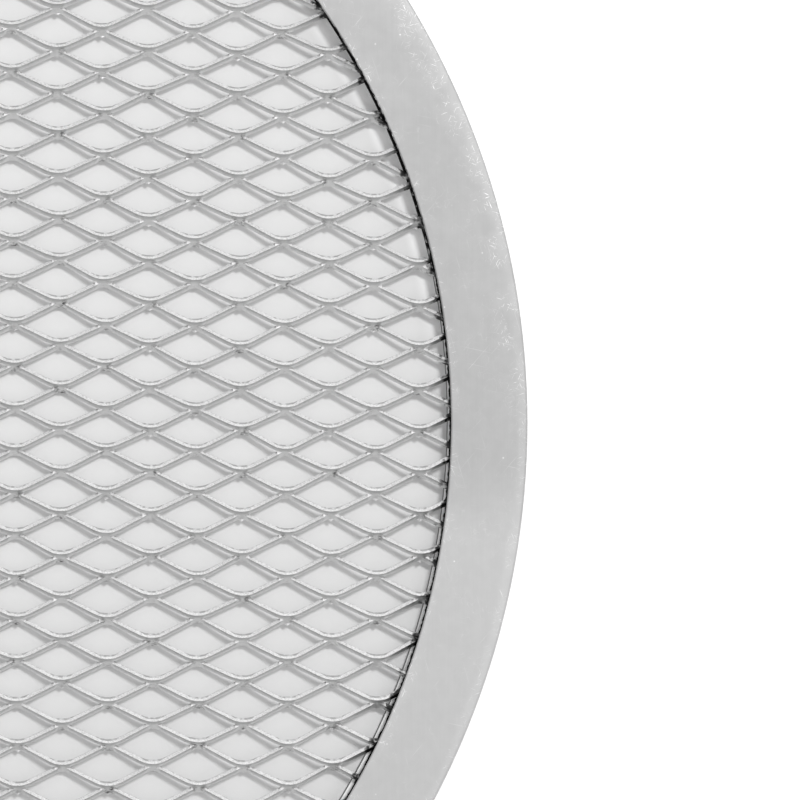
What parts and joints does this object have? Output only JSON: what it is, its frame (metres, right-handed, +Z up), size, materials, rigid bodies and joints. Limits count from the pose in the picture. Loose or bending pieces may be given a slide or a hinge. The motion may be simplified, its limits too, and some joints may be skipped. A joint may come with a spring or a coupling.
{
  "type": "pizza screen",
  "caption": "Round flat baking screen: a disc of expanded aluminium mesh with diamond openings, clamped in a folded flat aluminium rim.",
  "frame": {"origin": "on the screen's axis, in the plane of the rim's underside", "axes": "+Z up through the screen, +X along the long way of the diamonds and +Y along their short way, both to within about half a degree"},
  "size_m": [0.2286, 0.2286, 0.0034],
  "materials": {
    "rim_aluminium": "satin, finely scuffed",
    "mesh_aluminium": "mill finish with bright cut edges"
  },
  "bodies": {
    "root": {"rim": "rim_aluminium", "expanded_mesh": "mesh_aluminium"}
  },
  "joints": []
}
